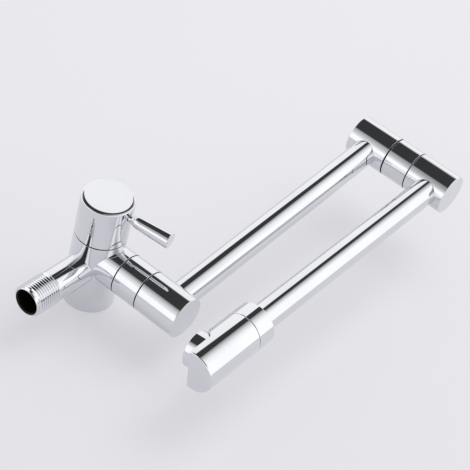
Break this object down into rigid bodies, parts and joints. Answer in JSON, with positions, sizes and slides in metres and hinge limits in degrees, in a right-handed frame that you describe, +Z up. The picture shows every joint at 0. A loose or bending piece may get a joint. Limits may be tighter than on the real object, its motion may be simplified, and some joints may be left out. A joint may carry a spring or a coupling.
{
  "type": "wall mounted pot filler",
  "caption": "Wall mounted pot filler with a threaded inlet, a quarter-turn lever valve, folding round arms on upright swivels and a turning spout head.",
  "frame": {"origin": "centre of the threaded inlet's end face, where it meets the wall fitting", "axes": "+Y along the inlet into the wall, -Y out over the cooker, +Z up along the swivel axes, +X along the valve axis towards the handle"},
  "size_m": [0.0865, 0.2885, 0.1418],
  "materials": {
    "chrome_plate": "mirror-bright chrome plate over brass",
    "machined_brass": "machined brass",
    "rubber_seal": "matt black seal rubber",
    "stainless_steel": "plain stainless steel",
    "white_nylon": "moulded white plastic",
    "white_ceramic": "lapped white alumina ceramic"
  },
  "bodies": {
    "valve": {"valve_body": "chrome_plate", "cartridge_body": "machined_brass", "fixed_disc": "white_ceramic", "seat_seal": "rubber_seal", "cartridge_o_ring": "rubber_seal", "base_ring": "chrome_plate", "base_bush": "white_nylon"},
    "handle": {"handle_cap": "chrome_plate", "handle_lever": "chrome_plate", "handle_grub_screw": "stainless_steel", "cartridge_stem": "machined_brass", "moving_disc": "white_ceramic", "stem_o_ring": "rubber_seal", "stem_clip": "stainless_steel"},
    "lower_arm_set": {"base_spigot": "machined_brass", "base_lower_o_ring": "rubber_seal", "base_upper_o_ring": "rubber_seal", "base_hub": "chrome_plate", "lower_arm": "chrome_plate", "elbow_lower_hub": "chrome_plate", "elbow_ring": "chrome_plate", "elbow_bush": "white_nylon"},
    "upper_arm_set": {"elbow_spigot": "machined_brass", "elbow_lower_o_ring": "rubber_seal", "elbow_upper_o_ring": "rubber_seal", "elbow_upper_hub": "chrome_plate", "upper_arm": "chrome_plate", "head_collar": "chrome_plate", "head_spigot": "machined_brass", "head_o_ring": "rubber_seal", "head_clip": "stainless_steel"},
    "spout_head_set": {"spout_head": "chrome_plate", "aerator_housing": "chrome_plate", "aerator_insert": "white_nylon", "aerator_washer": "rubber_seal"}
  },
  "joints": [
    {"name": "handle_turn", "type": "hinge", "parent": "valve", "child": "handle", "pos_m": [0.0453, -0.0616, 0], "axis": [1, 0, 0], "range_deg": [-7.9, 82.1]},
    {"name": "base_swivel", "type": "hinge", "parent": "valve", "child": "lower_arm_set", "pos_m": [0.0053, -0.0616, 0.06], "axis": [0, 0, 1], "range_deg": [-95.7, 84.3]},
    {"name": "elbow_swivel", "type": "hinge", "parent": "lower_arm_set", "child": "upper_arm_set", "pos_m": [0.02655, -0.27454, 0.1108], "axis": [0, 0, 1], "continuous": true},
    {"name": "spout_head_swivel", "type": "hinge", "parent": "upper_arm_set", "child": "spout_head_set", "pos_m": [0.01895, -0.06718, 0.1108], "axis": [-0.0366, 0.9993, 0], "continuous": true}
  ]
}
